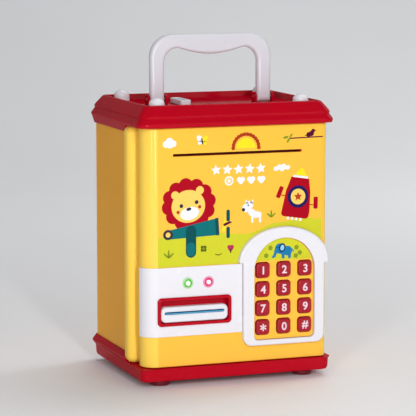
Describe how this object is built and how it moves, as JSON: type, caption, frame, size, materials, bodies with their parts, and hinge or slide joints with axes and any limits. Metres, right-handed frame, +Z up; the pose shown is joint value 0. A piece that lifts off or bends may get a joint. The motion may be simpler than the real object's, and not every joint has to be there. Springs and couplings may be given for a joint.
{
  "type": "toy atm savings bank",
  "caption": "Carry-handled toy money box with a hinged front door that has a note slot, a card reader, two lamps and a numeric keypad.",
  "frame": {"origin": "on the table, at the middle of the footprint", "axes": "+Z up, +X to the right as seen from the front, -Y out of the door's face"},
  "size_m": [0.182, 0.146, 0.302],
  "materials": {
    "red_shell": "glossy red ABS",
    "dark_red_plastic": "dark red, satin",
    "yellow_shell": "warm yellow ABS with printed pictures on the door",
    "white_trim": "white ABS",
    "handle_plastic": "pale grey-white, glossy",
    "key_caps": "red key caps with white marks",
    "green_lens": "clear green lamp",
    "red_lens": "clear red lamp",
    "card": "blue laminated card with a gold contact pad",
    "inner_grey": "grey moulded plastic",
    "roller_rubber": "black rubber",
    "membrane_rubber": "grey silicone",
    "circuit_board": "green solder mask",
    "gear_plastic": "natural acetal",
    "steel": "bright plated steel",
    "battery": "printed foil sleeve"
  },
  "bodies": {
    "case": {"base": "red_shell", "foot_front_left": "dark_red_plastic", "foot_front_right": "dark_red_plastic", "foot_rear_left": "dark_red_plastic", "foot_rear_right": "dark_red_plastic", "case_shell": "yellow_shell", "front_frame": "yellow_shell", "lid": "red_shell", "coin_collar": "white_trim", "corner_dome_front_left": "white_trim", "corner_dome_front_right": "white_trim", "corner_dome_rear_left": "white_trim", "corner_dome_rear_right": "white_trim", "handle_pin_left": "steel", "handle_pin_right": "steel", "hinge_pin_lower": "steel", "hinge_pin_upper": "steel"},
    "handle": {"carry_handle": "handle_plastic"},
    "door": {"door_shell": "yellow_shell", "door_back_cover": "yellow_shell", "card_panel": "white_trim", "keypad_surround": "white_trim", "keypad_plate": "yellow_shell", "key_membrane": "membrane_rubber", "circuit_board": "circuit_board", "lamp_green": "green_lens", "lamp_red": "red_lens", "reader_frame": "red_shell", "reader_insert": "white_trim", "card_guide": "inner_grey", "note_feeder_housing": "dark_red_plastic", "feed_motor": "steel", "battery_box": "inner_grey", "battery_1": "battery", "battery_2": "battery", "battery_3": "battery", "battery_cover": "yellow_shell", "battery_screw": "steel", "speaker": "inner_grey", "latch_housing": "inner_grey"},
    "key_1": {"key_1": "key_caps"},
    "key_2": {"key_2": "key_caps"},
    "key_3": {"key_3": "key_caps"},
    "key_4": {"key_4": "key_caps"},
    "key_5": {"key_5": "key_caps"},
    "key_6": {"key_6": "key_caps"},
    "key_7": {"key_7": "key_caps"},
    "key_8": {"key_8": "key_caps"},
    "key_9": {"key_9": "key_caps"},
    "key_star": {"key_star": "key_caps"},
    "key_0": {"key_0": "key_caps"},
    "key_hash": {"key_hash": "key_caps"},
    "card": {"bank_card": "card"},
    "bolt": {"latch_bolt": "steel"},
    "feed_roller": {"feed_roller": "roller_rubber", "roller_gear": "gear_plastic"},
    "idler_roller": {"idler_roller": "roller_rubber"},
    "motor_pinion": {"motor_pinion": "gear_plastic"}
  },
  "joints": [
    {"name": "door_hinge", "type": "hinge", "parent": "case", "child": "door", "pos_m": [-0.0722, -0.0552, 0.12], "axis": [0, 0, -1], "range_deg": [0, 100]},
    {"name": "handle_fold", "type": "hinge", "parent": "case", "child": "handle", "pos_m": [0, 0, 0.245], "axis": [1, 0, 0], "range_deg": [-88, 88]},
    {"name": "key_1_press", "type": "slide", "parent": "door", "child": "key_1", "axis": [0, 1, 0], "range_m": [0, 0.0015], "stiffness_N_per_m": 250, "springref_m": -0.001},
    {"name": "key_2_press", "type": "slide", "parent": "door", "child": "key_2", "axis": [0, 1, 0], "range_m": [0, 0.0015], "stiffness_N_per_m": 250, "springref_m": -0.001},
    {"name": "key_3_press", "type": "slide", "parent": "door", "child": "key_3", "axis": [0, 1, 0], "range_m": [0, 0.0015], "stiffness_N_per_m": 250, "springref_m": -0.001},
    {"name": "key_4_press", "type": "slide", "parent": "door", "child": "key_4", "axis": [0, 1, 0], "range_m": [0, 0.0015], "stiffness_N_per_m": 250, "springref_m": -0.001},
    {"name": "key_5_press", "type": "slide", "parent": "door", "child": "key_5", "axis": [0, 1, 0], "range_m": [0, 0.0015], "stiffness_N_per_m": 250, "springref_m": -0.001},
    {"name": "key_6_press", "type": "slide", "parent": "door", "child": "key_6", "axis": [0, 1, 0], "range_m": [0, 0.0015], "stiffness_N_per_m": 250, "springref_m": -0.001},
    {"name": "key_7_press", "type": "slide", "parent": "door", "child": "key_7", "axis": [0, 1, 0], "range_m": [0, 0.0015], "stiffness_N_per_m": 250, "springref_m": -0.001},
    {"name": "key_8_press", "type": "slide", "parent": "door", "child": "key_8", "axis": [0, 1, 0], "range_m": [0, 0.0015], "stiffness_N_per_m": 250, "springref_m": -0.001},
    {"name": "key_9_press", "type": "slide", "parent": "door", "child": "key_9", "axis": [0, 1, 0], "range_m": [0, 0.0015], "stiffness_N_per_m": 250, "springref_m": -0.001},
    {"name": "key_star_press", "type": "slide", "parent": "door", "child": "key_star", "axis": [0, 1, 0], "range_m": [0, 0.0015], "stiffness_N_per_m": 250, "springref_m": -0.001},
    {"name": "key_0_press", "type": "slide", "parent": "door", "child": "key_0", "axis": [0, 1, 0], "range_m": [0, 0.0015], "stiffness_N_per_m": 250, "springref_m": -0.001},
    {"name": "key_hash_press", "type": "slide", "parent": "door", "child": "key_hash", "axis": [0, 1, 0], "range_m": [0, 0.0015], "stiffness_N_per_m": 250, "springref_m": -0.001},
    {"name": "card_slide", "type": "slide", "parent": "door", "child": "card", "axis": [0, -1, 0], "range_m": [0, 0.08]},
    {"name": "latch_bolt_slide", "type": "slide", "parent": "door", "child": "bolt", "axis": [1, 0, 0], "range_m": [0, 0.009]},
    {"name": "feed_roller_spin", "type": "hinge", "parent": "door", "child": "feed_roller", "pos_m": [0, -0.0552, 0.1975], "axis": [1, 0, 0], "continuous": true},
    {"name": "idler_roller_spin", "type": "hinge", "parent": "door", "child": "idler_roller", "pos_m": [0, -0.0552, 0.2069], "axis": [1, 0, 0], "continuous": true},
    {"name": "motor_pinion_spin", "type": "hinge", "parent": "door", "child": "motor_pinion", "pos_m": [0.0648, -0.0552, 0.1852], "axis": [1, 0, 0], "continuous": true}
  ],
  "couplings": [
    {"joint": "idler_roller_spin", "follows": "feed_roller_spin", "ratio": -1},
    {"joint": "motor_pinion_spin", "follows": "feed_roller_spin", "ratio": -2.25}
  ]
}
